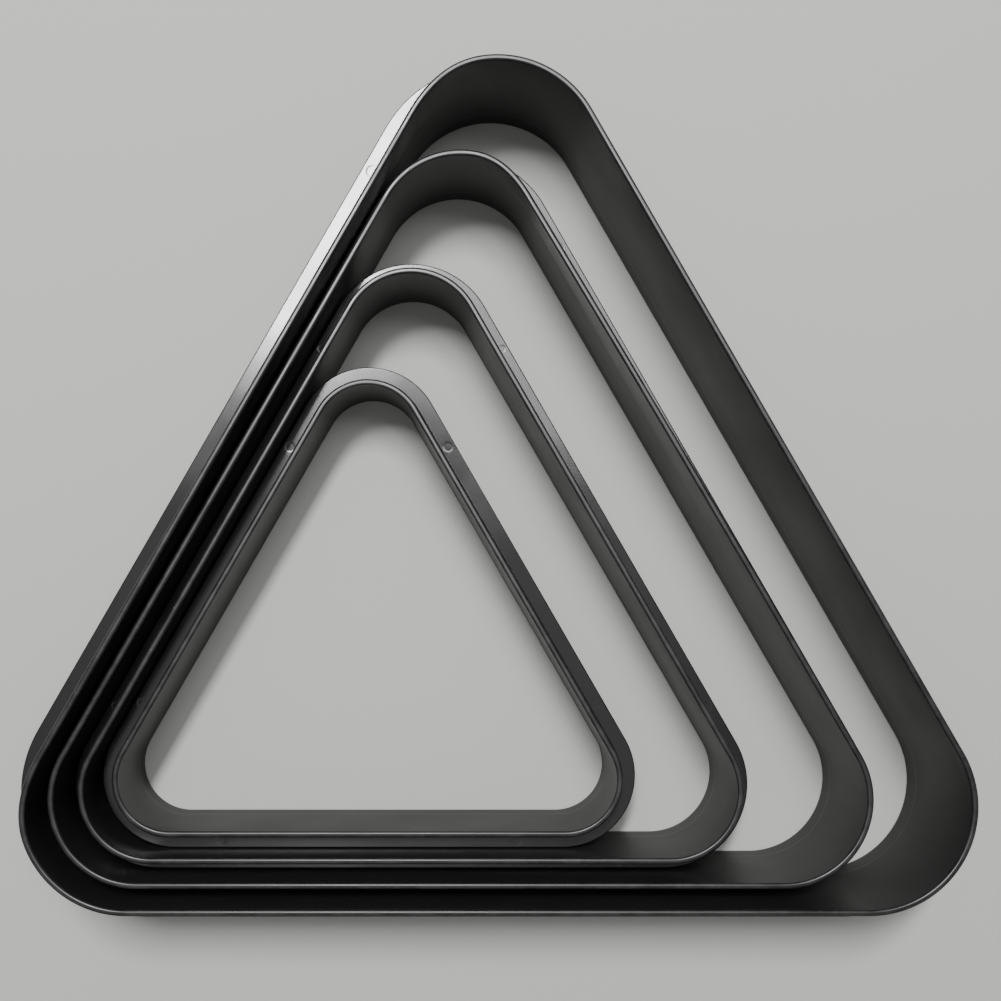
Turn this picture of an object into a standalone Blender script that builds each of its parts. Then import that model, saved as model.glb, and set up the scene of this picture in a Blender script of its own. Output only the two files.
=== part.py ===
"""Four nested triangle racks for billiard balls.

Each rack is one plastic moulding: a thin upright band bent round a triangle with
rounded corners, with a narrow flange running round its outside. The racks come in
four sizes. All stand on the table, each pushed into the lower left corner of the
next larger one, so that its flange meets the larger band along two sides.

Metres, +Z up. The origin is the centre of the largest rack's outline, on the table.
"""

import math
from collections import namedtuple

import bmesh
import bpy
from mathutils import Matrix, Vector

# ---------------------------------------------------------------- driving dimensions

BALLS_ON_A_SIDE = 5
LARGEST_BALL = 0.05715        # 2 1/4 in pool ball

WALL_AT_FLANGE = 0.0023       # band thickness where the flange leaves it
WALL_AT_RIM = 0.0020          # band thickness at its two rims, after the mould's draft
RIM_ROUNDING = 0.0004

FLANGE_TOP = 0.0260           # height of the flange's upper face over the table
FLANGE_THICKNESS = 0.0020
FLANGE_ROUNDING = 0.0004

PIN_MARK_DEPTH = 0.00025      # round ejector marks pressed into the flange's upper face
PIN_MARK_MARGIN = 0.0006      # flange left on each side of a mark
PIN_MARK_INSET = 0.0150       # from the end of a straight side to a mark's centre

NEST_GAP = 0.0003             # between a flange and the larger band it lies against

# smaller_ball_by: how much smaller its balls are than those of the rack outside it
# ball_clearance: room round the racked balls, at the band's inner face
Rack = namedtuple("Rack", "name smaller_ball_by ball_clearance height flange_reach")

RACKS = (
    Rack("largest_rack", 0.0, 0.0030, 0.0500, 0.0070),
    Rack("second_rack", 0.00635, 0.0006, 0.0430, 0.0038),
    Rack("third_rack", 0.009525, 0.0005, 0.0390, 0.0042),
    Rack("smallest_rack", 0.009525, 0.0006, 0.0350, 0.0050),
)

CORNER_STEPS = 12             # facets round each corner of a rack
ROUNDING_STEPS = 2            # facets round each small edge of the section
PIN_MARK_FACETS = 16

SHARP_EDGE = math.radians(35)  # edges that turn by more than this are drawn sharp
MERGE_WITHIN = 0.000005        # joins the last section of a sweep to the first

BLACK_PLASTIC = (0.012, 0.012, 0.013, 1.0)
PLASTIC_ROUGHNESS = 0.32

THIRD_OF_A_TURN = math.radians(120)
CORNER_OF_THE_NEST = Vector((-math.cos(math.radians(30)), -0.5, 0.0))


# ---------------------------------------------------------------- sizes of one rack

def side_length(ball):
    """Length of a straight side: the distance between two corner balls' centres."""
    return (BALLS_ON_A_SIDE - 1) * ball


def corner_radius(rack, ball):
    """Inner radius of a corner, which wraps round the corner ball."""
    return ball / 2 + rack.ball_clearance


def corner_centre(ball, corner):
    """Centre of a corner's arc: 0 is bottom left, 1 bottom right, 2 the apex."""
    distance = side_length(ball) / math.sqrt(3)
    angle = math.radians(-150) + corner * THIRD_OF_A_TURN
    return Vector((math.cos(angle), math.sin(angle), 0.0)) * distance


def centre_to_inner_face(rack, ball):
    return side_length(ball) / (2 * math.sqrt(3)) + corner_radius(rack, ball)


def centre_to_flange_edge(rack, ball):
    return centre_to_inner_face(rack, ball) + WALL_AT_FLANGE + rack.flange_reach


# ---------------------------------------------------------------- the band's section

def rounded(corner, before, after, radius):
    """Points of the small arc that rounds one corner of the section."""
    if radius <= 0:
        return [corner]
    to_before = (before - corner).normalized()
    to_after = (after - corner).normalized()
    half_angle = to_before.angle(to_after) / 2
    bisector = (to_before + to_after).normalized()
    centre = corner + bisector * (radius / math.sin(half_angle))
    start = corner + to_before * (radius / math.tan(half_angle)) - centre
    turn = to_before.angle_signed(to_after)
    sweep = math.copysign(math.pi - abs(turn), turn)
    points = []
    for step in range(ROUNDING_STEPS + 1):
        rotation = Matrix.Rotation(sweep * step / ROUNDING_STEPS, 2)
        points.append(centre + rotation @ start)
    return points


def section_outline(rack):
    """Closed outline of the band and its flange, as (outward, up) from the inner foot."""
    flange_end = WALL_AT_FLANGE + rack.flange_reach
    flange_bottom = FLANGE_TOP - FLANGE_THICKNESS
    corners = (
        (Vector((0.0, 0.0)), RIM_ROUNDING),
        (Vector((WALL_AT_RIM, 0.0)), RIM_ROUNDING),
        (Vector((WALL_AT_FLANGE, flange_bottom)), 0.0),
        (Vector((flange_end, flange_bottom)), FLANGE_ROUNDING),
        (Vector((flange_end, FLANGE_TOP)), FLANGE_ROUNDING),
        (Vector((WALL_AT_FLANGE, FLANGE_TOP)), 0.0),
        (Vector((WALL_AT_RIM, rack.height)), RIM_ROUNDING),
        (Vector((0.0, rack.height)), RIM_ROUNDING),
    )
    outline = []
    for index, (corner, radius) in enumerate(corners):
        before = corners[index - 1][0]
        after = corners[(index + 1) % len(corners)][0]
        outline.extend(rounded(corner, before, after, radius))
    return outline


# ---------------------------------------------------------------- building a rack

def sweep_round_the_triangle(mesh, rack, ball):
    """Draw the section at the left end of the bottom side and sweep it round."""
    start = corner_centre(ball, 0) + Vector((0.0, -corner_radius(rack, ball), 0.0))
    loop = []
    for outward, up in section_outline(rack):
        loop.append(mesh.verts.new(start + Vector((0.0, -outward, up))))
    edges = []
    for index, vert in enumerate(loop):
        edges.append(mesh.edges.new((loop[index - 1], vert)))

    for side in range(3):
        along = Matrix.Rotation(side * THIRD_OF_A_TURN, 3, "Z") @ Vector((side_length(ball), 0, 0))
        straight = bmesh.ops.extrude_edge_only(mesh, edges=edges)["geom"]
        moved = [part for part in straight if isinstance(part, bmesh.types.BMVert)]
        bmesh.ops.translate(mesh, verts=moved, vec=along)
        end = moved + [part for part in straight if isinstance(part, bmesh.types.BMEdge)
                       and part.verts[0] in moved and part.verts[1] in moved]
        corner = bmesh.ops.spin(
            mesh, geom=end, cent=corner_centre(ball, (side + 1) % 3), axis=(0, 0, 1),
            angle=THIRD_OF_A_TURN, steps=CORNER_STEPS)["geom_last"]
        edges = [part for part in corner if isinstance(part, bmesh.types.BMEdge)]

    bmesh.ops.remove_doubles(mesh, verts=mesh.verts, dist=MERGE_WITHIN)
    bmesh.ops.recalc_face_normals(mesh, faces=mesh.faces)


def pin_mark_centres(rack, ball):
    """Two marks on the flange of each side, one near each end of the straight."""
    across = centre_to_flange_edge(rack, ball) - rack.flange_reach / 2
    along = side_length(ball) / 2 - PIN_MARK_INSET
    for side in range(3):
        turn = Matrix.Rotation(side * THIRD_OF_A_TURN, 3, "Z")
        for end in (-along, along):
            yield turn @ Vector((end, -across, FLANGE_TOP))


def pin_mark_cutter(rack, ball):
    """One mesh of short plugs, each sunk into the flange by the depth of a mark."""
    radius = rack.flange_reach / 2 - PIN_MARK_MARGIN
    mesh = bmesh.new()
    for centre in pin_mark_centres(rack, ball):
        bmesh.ops.create_cone(
            mesh, cap_ends=True, segments=PIN_MARK_FACETS, radius1=radius, radius2=radius,
            depth=2 * PIN_MARK_DEPTH, matrix=Matrix.Translation(centre))
    return mesh


def black_plastic(name):
    material = bpy.data.materials.new(name + "_plastic")
    material.use_nodes = True
    shader = material.node_tree.nodes["Principled BSDF"]
    shader.inputs["Base Color"].default_value = BLACK_PLASTIC
    shader.inputs["Roughness"].default_value = PLASTIC_ROUGHNESS
    shader.inputs["Metallic"].default_value = 0.0
    material.diffuse_color = BLACK_PLASTIC
    return material


def finished_object(name, mesh, collection, location):
    data = bpy.data.meshes.new(name)
    mesh.to_mesh(data)
    mesh.free()
    thing = bpy.data.objects.new(name, data)
    thing.location = location
    collection.objects.link(thing)
    return thing


def build_rack(rack, ball, centre, parts, cutters):
    band = bmesh.new()
    sweep_round_the_triangle(band, rack, ball)
    thing = finished_object(rack.name, band, parts, centre)
    thing.data.materials.append(black_plastic(rack.name))
    thing.data.shade_smooth()
    thing.data.set_sharp_from_angle(angle=SHARP_EDGE)

    marks = finished_object(rack.name + "_pin_marks", pin_mark_cutter(rack, ball), cutters, centre)
    marks.hide_render = True
    marks.display_type = "WIRE"
    cut = thing.modifiers.new("pin_marks", "BOOLEAN")
    cut.operation = "DIFFERENCE"
    cut.solver = "EXACT"
    cut.object = marks


# ---------------------------------------------------------------- the nested set

def largest_rack_centre():
    """Centroid of the largest triangle, with its outline's centre at the origin."""
    rack = RACKS[0]
    below = centre_to_flange_edge(rack, LARGEST_BALL)
    apex = corner_centre(LARGEST_BALL, 2).y
    above = apex + corner_radius(rack, LARGEST_BALL) + WALL_AT_FLANGE + rack.flange_reach
    return Vector((0.0, (below - above) / 2, 0.0))


def build_set():
    for thing in list(bpy.data.objects):
        bpy.data.objects.remove(thing, do_unlink=True)
    parts = bpy.data.collections.new("nested_triangle_racks")
    cutters = bpy.data.collections.new("cutters")
    bpy.context.scene.collection.children.link(parts)
    bpy.context.scene.collection.children.link(cutters)

    ball = LARGEST_BALL
    centre = largest_rack_centre()
    build_rack(RACKS[0], ball, centre, parts, cutters)
    for outer, inner in zip(RACKS, RACKS[1:]):
        room = centre_to_inner_face(outer, ball) - NEST_GAP
        ball = ball - inner.smaller_ball_by
        # The corner lies 60 degrees off the outward directions of the two sides that it
        # joins, so a rack moved towards it nears each side by half of its travel.
        to_each_side = room - centre_to_flange_edge(inner, ball)
        centre = centre + CORNER_OF_THE_NEST * (2 * to_each_side)
        build_rack(inner, ball, centre, parts, cutters)


build_set()
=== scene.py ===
import math
from collections import namedtuple

import bpy
from mathutils import Matrix, Vector


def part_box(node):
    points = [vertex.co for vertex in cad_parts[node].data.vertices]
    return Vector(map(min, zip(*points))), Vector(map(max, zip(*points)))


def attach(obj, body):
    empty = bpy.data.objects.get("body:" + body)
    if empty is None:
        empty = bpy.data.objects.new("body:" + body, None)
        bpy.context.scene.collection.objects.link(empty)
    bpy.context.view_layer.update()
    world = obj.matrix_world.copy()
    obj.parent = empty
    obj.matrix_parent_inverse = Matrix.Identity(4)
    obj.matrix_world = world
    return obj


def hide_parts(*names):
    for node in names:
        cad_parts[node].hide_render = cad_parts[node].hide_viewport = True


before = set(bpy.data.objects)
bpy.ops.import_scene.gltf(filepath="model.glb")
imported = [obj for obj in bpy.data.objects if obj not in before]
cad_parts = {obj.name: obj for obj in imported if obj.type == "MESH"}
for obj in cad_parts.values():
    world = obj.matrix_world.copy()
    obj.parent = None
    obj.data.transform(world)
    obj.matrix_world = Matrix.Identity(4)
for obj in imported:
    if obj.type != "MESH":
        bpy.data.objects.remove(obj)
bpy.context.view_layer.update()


# ---- Largest rack --------------------------------------------------------------------
# The rack for full-size pool balls. It is one moulding in black plastic: a thin upright
# band bent round the balls, stiffened by a flange that runs round its outside. It stands
# loose on the table, and the other racks stand inside it.

BALLS_ON_A_SIDE = 5
THIRD_OF_A_TURN = math.radians(120)
TO_BOTTOM_LEFT_CORNER = math.radians(-150)

WALL_AT_FLANGE = 0.0023
WALL_AT_RIM = 0.0020
RIM_ROUNDING = 0.00078
FLANGE_TOP = 0.0260
FLANGE_THICKNESS = 0.0020
FLANGE_BOTTOM = FLANGE_TOP - FLANGE_THICKNESS
FLANGE_ROUNDING = 0.00042
ROOT_FILLET = 0.0005

WITNESS_HEIGHT = 0.0082       # the line left inside where two parts of the mould meet
WITNESS_STANDS_OUT = 0.000025
WITNESS_SPREAD = 0.00026      # from its ridge, up or down, to the flat wall

PIN_MARK_DEPTH = 0.00013
PIN_MARK_SLOPE = 0.00048      # how far the side of a mark slopes in
PIN_MARK_INSET = 0.0150       # from the end of a straight side to a mark's centre
PIN_MARK_MARGIN = 0.0005      # flange left on each side of a mark
WIDEST_PIN_MARK = 0.0024      # radius
PIN_LENGTH = 0.00226          # above the flange

LEAN_DIES_OUT_AT = math.radians(52)
LEAN_CURVE = 1.2              # 1 would be a straight lean from the flange to the rim

ROUNDING_FACETS = 6
CORNER_FACETS = 40
STRAIGHT_FACETS = 14
PIN_MARK_FACETS = 40
LEAN_STEPS = 4                # lines round the wall above the flange, for a lean to bend at
SHARP_FROM = math.radians(28)
FLAT_WITHIN = math.radians(0.5)
SAME_PLACE_WITHIN = 0.00001
JOINED_WITHIN = 0.000004

# ball: diameter of the fifteen balls that a rack holds
# clearance: room round the racked balls, at the band's inner face
# reach: how far the flange stands out from the wall
Rack = namedtuple("Rack", "node ball clearance height reach")


def side_length(rack):
    """Length of a straight side: from one corner ball's centre to the next."""
    return (BALLS_ON_A_SIDE - 1) * rack.ball


def corner_radius(rack):
    """Inner radius of a corner, which wraps round the corner ball."""
    return rack.ball / 2 + rack.clearance


def centre_to_side(rack):
    """From the triangle's centre to the line through two corner balls' centres."""
    return side_length(rack) / (2 * math.sqrt(3))


def rack_centre(rack):
    """The triangle's centre in the frame: its solid's box starts at its bottom flange."""
    low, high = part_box(rack.node)
    to_bottom = centre_to_side(rack) + corner_radius(rack) + WALL_AT_FLANGE + rack.reach
    return Vector(((low.x + high.x) / 2, low.y + to_bottom, 0))


def corner_centre(rack, corner):
    """Centre of a corner's arc: 0 is bottom left, 1 bottom right, 2 the apex."""
    angle = TO_BOTTOM_LEFT_CORNER + corner * THIRD_OF_A_TURN
    away = Vector((math.cos(angle), math.sin(angle), 0)) * side_length(rack) / math.sqrt(3)
    return rack_centre(rack) + away


def turned_to_side(number):
    """Turns a direction from the bottom side's, number 0, to that of the right or left."""
    return Matrix.Rotation(number * THIRD_OF_A_TURN, 3, "Z")


def nothing_selected():
    if bpy.context.mode != "OBJECT":
        bpy.ops.object.mode_set(mode="OBJECT")
    bpy.ops.object.select_all(action="DESELECT")


def only_selected(thing):
    nothing_selected()
    thing.select_set(True)
    bpy.context.view_layer.objects.active = thing


def pick_points(thing, chosen):
    """Select, in edit mode, the points of a mesh that chosen(co) is true for."""
    bpy.ops.mesh.select_mode(type="VERT")
    bpy.ops.mesh.select_all(action="DESELECT")
    bpy.ops.object.mode_set(mode="OBJECT")
    for point in thing.data.vertices:
        point.select = chosen(point.co)
    bpy.ops.object.mode_set(mode="EDIT")


def between(value, low, high):
    return low - SAME_PLACE_WITHIN < value < high + SAME_PLACE_WITHIN


def near(value, other):
    return between(value, other, other)


def cut_at(level):
    """Cut all that is being edited along a level."""
    bpy.ops.mesh.select_all(action="SELECT")
    bpy.ops.mesh.bisect(plane_co=(0, 0, level), plane_no=(0, 0, 1))


def round_off(radius):
    """Round the picked corners of the section."""
    bpy.ops.mesh.bevel(affect="VERTICES", offset=radius, segments=ROUNDING_FACETS)


def draw_section(rack):
    """The band cut across at the left end of its bottom side, as one face: a wall with a
    flange on its outside, and a fine ridge low on its inside."""
    nothing_selected()
    bpy.ops.mesh.primitive_plane_add(size=1, rotation=(0, math.radians(90), 0))
    moulding = bpy.context.object
    moulding.name = rack.node + "_moulding"
    moulding.data.name = moulding.name
    bpy.ops.object.transform_apply(location=True, rotation=True, scale=True)
    start = corner_centre(rack, 0) + Vector((0, -corner_radius(rack), 0))
    inside = start.y
    outside = inside - WALL_AT_RIM
    bpy.ops.object.mode_set(mode="EDIT")
    bpy.ops.mesh.select_all(action="SELECT")
    bpy.ops.transform.resize(
        value=(1, WALL_AT_RIM, rack.height), center_override=(0, 0, 0))
    bpy.ops.transform.translate(
        value=start + Vector((0, -WALL_AT_RIM / 2, rack.height / 2)))

    cut_at(FLANGE_BOTTOM)
    cut_at(FLANGE_TOP)
    pick_points(moulding, lambda co: near(co.y, outside)
                and between(co.z, FLANGE_BOTTOM, FLANGE_TOP))
    bpy.ops.transform.translate(value=(0, WALL_AT_RIM - WALL_AT_FLANGE, 0))
    bpy.ops.mesh.extrude_region_move(TRANSFORM_OT_translate={"value": (0, -rack.reach, 0)})

    cut_at(WITNESS_HEIGHT - WITNESS_SPREAD)
    cut_at(WITNESS_HEIGHT + WITNESS_SPREAD)
    cut_at(WITNESS_HEIGHT)
    pick_points(moulding, lambda co: near(co.y, inside) and near(co.z, WITNESS_HEIGHT))
    bpy.ops.transform.translate(value=(0, WITNESS_STANDS_OUT, 0))

    bpy.ops.mesh.select_all(action="SELECT")
    bpy.ops.mesh.dissolve_faces()
    bpy.ops.mesh.select_all(action="SELECT")
    bpy.ops.mesh.dissolve_limited(angle_limit=FLAT_WITHIN)
    return moulding, inside


def round_section(moulding, rack, inside):
    """Round the rims and the flange's edges, fillet its roots, and leave the outline only."""
    root = inside - WALL_AT_FLANGE
    edge = root - rack.reach
    pick_points(moulding, lambda co: near(co.z, 0) or near(co.z, rack.height))
    round_off(RIM_ROUNDING)
    pick_points(moulding, lambda co: near(co.y, edge))
    round_off(FLANGE_ROUNDING)
    pick_points(moulding, lambda co: near(co.y, root)
                and (near(co.z, FLANGE_TOP) or near(co.z, FLANGE_BOTTOM)))
    round_off(ROOT_FILLET)
    bpy.ops.mesh.select_all(action="SELECT")
    bpy.ops.mesh.delete(type="ONLY_FACE")


def line_up_both_faces(moulding, rack, inside):
    """Give the wall the same few lines on both faces above the flange, so that a lean starts
    at the flange's level on both and keeps the wall's thickness."""
    root = inside - WALL_AT_FLANGE
    outside = inside - WALL_AT_RIM
    over_witness = WITNESS_HEIGHT + WITNESS_SPREAD
    below_rim = rack.height - RIM_ROUNDING
    pick_points(moulding, lambda co: near(co.y, inside)
                and between(co.z, over_witness, below_rim))
    bpy.ops.mesh.subdivide(number_cuts=1)
    middle = (over_witness + below_rim) / 2
    pick_points(moulding, lambda co: near(co.y, inside) and near(co.z, middle))
    bpy.ops.transform.translate(value=(0, 0, FLANGE_TOP - middle))
    pick_points(moulding, lambda co: near(co.y, inside)
                and between(co.z, FLANGE_TOP, below_rim))
    bpy.ops.mesh.subdivide(number_cuts=LEAN_STEPS)
    pick_points(moulding, lambda co: between(co.y, root, outside)
                and between(co.z, FLANGE_TOP + ROOT_FILLET, below_rim))
    bpy.ops.mesh.subdivide(number_cuts=LEAN_STEPS)


def sweep_section(rack):
    """Carry the section along each straight side and round each corner, back to its start."""
    bpy.ops.mesh.select_mode(type="EDGE")
    bpy.ops.mesh.select_all(action="SELECT")
    for number in range(3):
        heading = number * THIRD_OF_A_TURN
        along = Vector((math.cos(heading), math.sin(heading), 0)) * side_length(rack)
        for _ in range(STRAIGHT_FACETS):
            bpy.ops.mesh.extrude_region_move(
                TRANSFORM_OT_translate={"value": along / STRAIGHT_FACETS})
        bpy.ops.mesh.spin(
            steps=CORNER_FACETS, angle=-THIRD_OF_A_TURN, axis=(0, 0, 1),
            center=corner_centre(rack, (number + 1) % 3))
    bpy.ops.mesh.select_mode(type="VERT")
    bpy.ops.mesh.select_all(action="SELECT")
    bpy.ops.mesh.remove_doubles(threshold=JOINED_WITHIN)
    bpy.ops.mesh.select_all(action="SELECT")
    bpy.ops.mesh.normals_make_consistent(inside=False)
    bpy.ops.object.mode_set(mode="OBJECT")


def ejector_pin(foot, radius):
    """A pin that stands on the flange. Its end tapers into the plastic and is dished."""
    nothing_selected()
    bpy.ops.mesh.primitive_cylinder_add(
        vertices=PIN_MARK_FACETS, radius=radius, depth=PIN_LENGTH,
        location=foot + Vector((0, 0, PIN_LENGTH / 2)))
    pin = bpy.context.object
    bpy.ops.object.mode_set(mode="EDIT")
    pick_points(pin, lambda co: co.z < 0)
    bpy.ops.mesh.extrude_region_move(
        TRANSFORM_OT_translate={"value": (0, 0, -PIN_MARK_DEPTH)})
    narrowed = (radius - PIN_MARK_SLOPE) / radius
    bpy.ops.transform.resize(value=(narrowed, narrowed, 1))
    bpy.ops.mesh.inset(thickness=PIN_MARK_SLOPE)
    bpy.ops.transform.translate(value=(0, 0, PIN_MARK_DEPTH / 2))
    bpy.ops.object.mode_set(mode="OBJECT")
    return pin


def press_pin_marks(moulding, rack):
    """Round marks where the mould's pins pushed the moulding out, in the flange's top."""
    across = centre_to_side(rack) + corner_radius(rack) + WALL_AT_FLANGE + rack.reach / 2
    along = side_length(rack) / 2 - PIN_MARK_INSET
    radius = min(rack.reach / 2 - PIN_MARK_MARGIN, WIDEST_PIN_MARK)
    for number in range(3):
        for end in (-along, along):
            foot = turned_to_side(number) @ Vector((end, -across, FLANGE_TOP))
            pin = ejector_pin(rack_centre(rack) + foot, radius)
            only_selected(moulding)
            cut = moulding.modifiers.new("pin mark", "BOOLEAN")
            cut.operation = "DIFFERENCE"
            cut.solver = "EXACT"
            cut.object = pin
            bpy.ops.object.modifier_apply(modifier=cut.name)
            bpy.data.objects.remove(pin, do_unlink=True)


def mould_rack(rack):
    """The shape of one rack, standing where its solid stands in the frame."""
    moulding, inside = draw_section(rack)
    round_section(moulding, rack, inside)
    line_up_both_faces(moulding, rack, inside)
    sweep_section(rack)
    press_pin_marks(moulding, rack)
    return moulding


def lean_wall(moulding, rack, number, inward, grows=False):
    """Lean the upper half of one wall in over the rack, and let the lean die out round the
    corners at its ends. The long thin wall has taken this set in storage. A lean that grows
    starts from nothing at the wall's first end, going round as the sweep did."""
    centre = rack_centre(rack)
    side = side_length(rack)
    turn = turned_to_side(number)
    for point in moulding.data.vertices:
        local = turn.transposed() @ (point.co - centre)
        up = (point.co.z - FLANGE_TOP) / (rack.height - FLANGE_TOP)
        beyond_end = max(abs(local.x) - side / 2, 0)
        round_corner = math.atan2(beyond_end, -local.y - centre_to_side(rack))
        if up <= 0 or round_corner >= LEAN_DIES_OUT_AT:
            continue
        share = math.cos(math.pi / 2 * round_corner / LEAN_DIES_OUT_AT) ** 2
        if grows:
            share *= max(min(local.x / side + 0.5, 1), 0) ** 2
        point.co += turn @ Vector((0, inward * share * up ** LEAN_CURVE, 0))


CLEAN_BLACK = (0.0060, 0.0060, 0.0062, 1.0)
SCUFFED_GREY = (0.060, 0.060, 0.062, 1.0)
PLASTIC_IOR = 1.49
GLOSSIEST = 0.15              # roughness of a level face where the mould was brightest
DULLEST = 0.21
RELIEF_DEPTH = 0.0004
RELIEF_STRENGTH = 0.6

WORN_TO_THE_EDGE = 0.0002     # a rim is worn all over this close to its top or foot
TOP_WEAR_REACHES = 0.0009     # and not at all this far from it
FOOT_WEAR_REACHES = 0.0008


def add_node(tree, kind, **inputs):
    node = tree.nodes.new(kind)
    for name, value in inputs.items():
        node.inputs[name].default_value = value
    return node


def ramp(tree, source, low, high, to_low=0.0, to_high=1.0):
    """Turn a value's range from low to high into one from to_low to to_high."""
    node = add_node(tree, "ShaderNodeMapRange")
    node.inputs["From Min"].default_value = low
    node.inputs["From Max"].default_value = high
    node.inputs["To Min"].default_value = to_low
    node.inputs["To Max"].default_value = to_high
    tree.links.new(source, node.inputs["Value"])
    return node.outputs["Result"]


def combine(tree, operation, first, second):
    """One step of arithmetic on two values, each a number or the output of a node."""
    node = add_node(tree, "ShaderNodeMath")
    node.operation = operation
    node.use_clamp = operation in ("ADD", "SUBTRACT")
    for index, value in enumerate((first, second)):
        if isinstance(value, float):
            node.inputs[index].default_value = value
        else:
            tree.links.new(value, node.inputs[index])
    return node.outputs["Value"]


def add_share(tree, total, source, share, operation="ADD"):
    """The total so far, with a share of one more value added or taken away."""
    return combine(tree, operation, total, combine(tree, "MULTIPLY", source, share))


def noise(tree, vector, scale, detail=2.0, roughness=0.5):
    """Noise on a vector, as a value from about 0.2 to 0.8."""
    node = add_node(tree, "ShaderNodeTexNoise", Scale=scale, Detail=detail, Roughness=roughness)
    tree.links.new(vector, node.inputs["Vector"])
    return node.outputs["Fac"]


def rim_mask(tree, place, height):
    """1 on the rack's top rim and foot, 0 between them."""
    axes = add_node(tree, "ShaderNodeSeparateXYZ")
    tree.links.new(place, axes.inputs["Vector"])
    up = axes.outputs["Z"]
    top = ramp(tree, up, height - TOP_WEAR_REACHES, height - WORN_TO_THE_EDGE)
    foot = ramp(tree, up, FOOT_WEAR_REACHES, WORN_TO_THE_EDGE)
    return combine(tree, "MAXIMUM", top, foot)


def black_plastic(rack, pattern_moved):
    """Black plastic: glossy and a little cloudy on level faces, satin on upright ones, and
    duller and slightly greyer on rims, where racks have been knocked and slid on tables.
    The pattern is moved by a different length for each rack, so that no two match."""
    material = bpy.data.materials.new(rack.node + "_black_plastic")
    material.use_nodes = True
    tree = material.node_tree
    shader = tree.nodes["Principled BSDF"]
    shader.inputs["Metallic"].default_value = 0.0
    shader.inputs["IOR"].default_value = PLASTIC_IOR
    shader.inputs["Specular IOR Level"].default_value = 0.5

    coords = add_node(tree, "ShaderNodeTexCoord")
    moved = add_node(
        tree, "ShaderNodeMapping", Location=(pattern_moved, 2 * pattern_moved, 0.0))
    tree.links.new(coords.outputs["Object"], moved.inputs["Vector"])
    place = moved.outputs["Vector"]
    attribute = add_node(tree, "ShaderNodeAttribute")
    attribute.attribute_name = "upright"
    upright = attribute.outputs["Fac"]

    clouds = noise(tree, place, 38.0)
    rim = rim_mask(tree, coords.outputs["Object"], rack.height)
    patches = ramp(tree, noise(tree, place, 170.0, detail=5.0, roughness=0.65), 0.40, 0.66)
    wear = combine(tree, "MULTIPLY", rim, combine(tree, "ADD", 0.25, patches))
    nicks = combine(
        tree, "MULTIPLY", ramp(tree, noise(tree, place, 620.0), 0.71, 0.76), rim)

    colour = add_node(tree, "ShaderNodeMix")
    colour.data_type = "RGBA"
    colour.inputs["A"].default_value = CLEAN_BLACK
    colour.inputs["B"].default_value = SCUFFED_GREY
    greyed = combine(tree, "MULTIPLY", wear, 0.22)
    tree.links.new(greyed, colour.inputs["Factor"])
    tree.links.new(colour.outputs["Result"], shader.inputs["Base Color"])

    roughness = ramp(tree, clouds, 0.3, 0.7, GLOSSIEST, DULLEST)
    roughness = add_share(tree, roughness, wear, 0.10)
    roughness = add_share(tree, roughness, rim, 0.11)
    satin = ramp(tree, upright, 0.8, 1.0, 0.0, 0.32)
    roughness = combine(tree, "ADD", roughness, satin)
    tree.links.new(roughness, shader.inputs["Roughness"])

    grain = combine(tree, "MULTIPLY", noise(tree, place, 1300.0), 0.014)
    grain = combine(tree, "MULTIPLY", grain, ramp(tree, upright, 0.3, 0.9, 1.0, 0.15))
    grain = combine(tree, "MULTIPLY", grain, ramp(tree, rim, 0.0, 1.0, 1.0, 0.06))
    relief = add_share(tree, grain, clouds, 0.30)
    relief = add_share(tree, relief, nicks, 0.12, "SUBTRACT")
    bump = add_node(tree, "ShaderNodeBump", Strength=RELIEF_STRENGTH, Distance=RELIEF_DEPTH)
    tree.links.new(relief, bump.inputs["Height"])
    tree.links.new(bump.outputs["Normal"], shader.inputs["Normal"])
    return material


def finish_rack(moulding, rack, pattern_moved):
    """Smooth a rack, with its broad faces kept flat, and give it its plastic and its body."""
    upright = moulding.data.attributes.new("upright", "FLOAT", "FACE")
    for face in moulding.data.polygons:
        upright.data[face.index].value = 1 - abs(face.normal.z)
    only_selected(moulding)
    bpy.ops.object.shade_smooth_by_angle(angle=SHARP_FROM)
    flat = moulding.modifiers.new("broad faces stay flat", "WEIGHTED_NORMAL")
    flat.keep_sharp = True
    flat.weight = 100
    bpy.ops.object.modifier_apply(modifier=flat.name)
    moulding.data.materials.append(black_plastic(rack, pattern_moved))
    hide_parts(rack.node)
    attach(moulding, rack.node)


LEFT_WALL = 2
LEFT_WALL_LEANS_IN = 0.0019

LARGEST = Rack("largest_rack", ball=0.05715, clearance=0.0030, height=0.0500, reach=0.0070)
largest_moulding = mould_rack(LARGEST)
lean_wall(largest_moulding, LARGEST, LEFT_WALL, LEFT_WALL_LEANS_IN)
finish_rack(largest_moulding, LARGEST, pattern_moved=0.0)


# ---- Second rack ---------------------------------------------------------------------
# The rack for 2 inch balls, moulded like the largest. It stands in the largest rack's
# lower left corner, its flange just short of the larger band along two sides.

RIGHT_WALL = 1
RIGHT_WALL_LEANS_IN = 0.0020  # by its apex end

SECOND = Rack("second_rack", ball=0.0508, clearance=0.0006, height=0.0430, reach=0.0038)
second_moulding = mould_rack(SECOND)
lean_wall(second_moulding, SECOND, RIGHT_WALL, RIGHT_WALL_LEANS_IN, grows=True)
finish_rack(second_moulding, SECOND, pattern_moved=0.37)


# ---- Third rack ----------------------------------------------------------------------
# The rack for 1 5/8 inch balls, one black moulding like the others. It stands loose in the
# second rack's lower left corner.

THIRD = Rack("third_rack", ball=0.041275, clearance=0.0005, height=0.0390, reach=0.0042)
finish_rack(mould_rack(THIRD), THIRD, pattern_moved=0.83)


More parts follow.
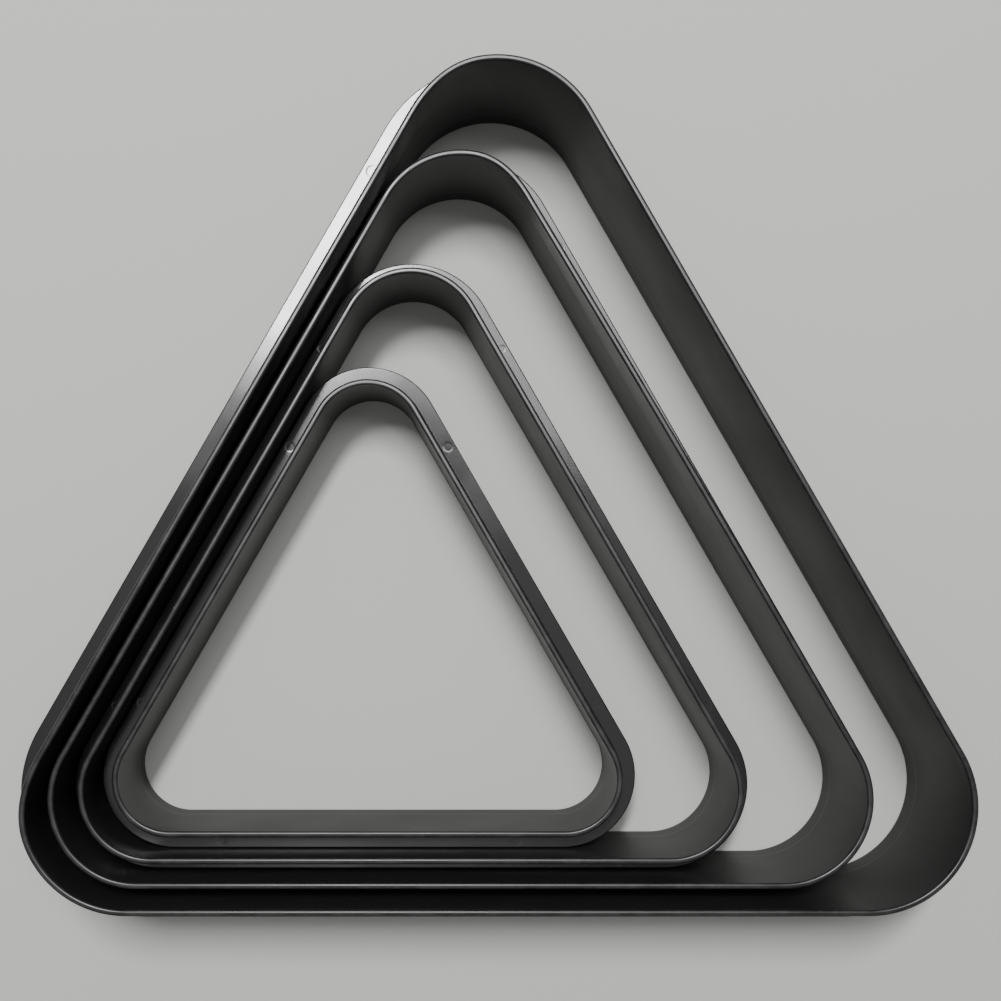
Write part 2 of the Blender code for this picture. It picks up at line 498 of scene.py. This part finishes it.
# ---- Smallest rack -------------------------------------------------------------------
# The rack for 1 1/4 inch balls, innermost of the set and moulded like the others. It
# stands loose in the third rack's lower left corner.

SMALLEST = Rack("smallest_rack", ball=0.03175, clearance=0.0006, height=0.0350, reach=0.0050)
finish_rack(mould_rack(SMALLEST), SMALLEST, pattern_moved=1.29)


# ---- Table ---------------------------------------------------------------------------
# A plain pale surface for the racks to stand on. It isn't part of the set.

TABLE_WIDTH = 6.0
TABLE_DROP = 0.0001           # keeps the table clear of the racks' feet
PALE_GREY = (0.42, 0.42, 0.405, 1.0)

nothing_selected()
bpy.ops.mesh.primitive_plane_add(size=TABLE_WIDTH, location=(0, 0, -TABLE_DROP))
table_top = bpy.context.object
table_top.name = "table_top"
pale = bpy.data.materials.new("pale_table")
pale.use_nodes = True
pale_shader = pale.node_tree.nodes["Principled BSDF"]
pale_shader.inputs["Base Color"].default_value = PALE_GREY
pale_shader.inputs["Roughness"].default_value = 0.9
pale_shader.inputs["Specular IOR Level"].default_value = 0.1
table_top.data.materials.append(pale)


# ---- Light ---------------------------------------------------------------------------
# A broad soft lamp over the table, in a dim even room. Three narrow soft lamps stand where
# the flanges mirror them to the camera: one for the left sides and two for the right.

ROOM_BRIGHTNESS = 0.26
STRIP_HEIGHT = 1.5


def soft_lamp(name, place, across, deep, power, turned=0):
    """A lamp that shines straight down, turned so many degrees about the upright."""
    lamp = bpy.data.lights.new(name, "AREA")
    lamp.shape = "RECTANGLE"
    lamp.size = across
    lamp.size_y = deep
    lamp.energy = power
    lamp_stand = bpy.data.objects.new(name, lamp)
    lamp_stand.location = place
    lamp_stand.rotation_euler.z = math.radians(turned)
    bpy.context.scene.collection.objects.link(lamp_stand)


soft_lamp("overhead", (-0.16, 0.15, 1.6), across=1.30, deep=1.70, power=4.5)
soft_lamp("left_strip", (-0.166, 0.595, STRIP_HEIGHT),
          across=0.17, deep=0.54, power=36.0, turned=151)
soft_lamp("right_strip", (0.05, 0.34, STRIP_HEIGHT),
          across=0.10, deep=0.40, power=2.1, turned=47)
soft_lamp("far_right_strip", (0.29, 0.47, STRIP_HEIGHT),
          across=0.20, deep=0.60, power=4.6, turned=37)

room = bpy.data.worlds.new("room")
room.use_nodes = True
room.node_tree.nodes["Background"].inputs["Color"].default_value = (1, 1, 1, 1)
room.node_tree.nodes["Background"].inputs["Strength"].default_value = ROOM_BRIGHTNESS
bpy.context.scene.world = room


# ---- Camera --------------------------------------------------------------------------
# Straight above the racks, looking down, a little below the middle of the set.

CAMERA_PLACE = (-0.0183, -0.0273, 0.400)
FOCAL_LENGTH = 41.02
SENSOR_WIDTH = 36.0
SHIFT_RIGHT = 0.0624
SHIFT_UP = 0.0734
NEAREST_SEEN = 0.01

camera = bpy.data.cameras.new("camera")
camera.lens = FOCAL_LENGTH
camera.sensor_width = SENSOR_WIDTH
camera.shift_x = SHIFT_RIGHT
camera.shift_y = SHIFT_UP
camera.clip_start = NEAREST_SEEN
camera_stand = bpy.data.objects.new("camera", camera)
camera_stand.location = CAMERA_PLACE
bpy.context.scene.collection.objects.link(camera_stand)
bpy.context.scene.camera = camera_stand
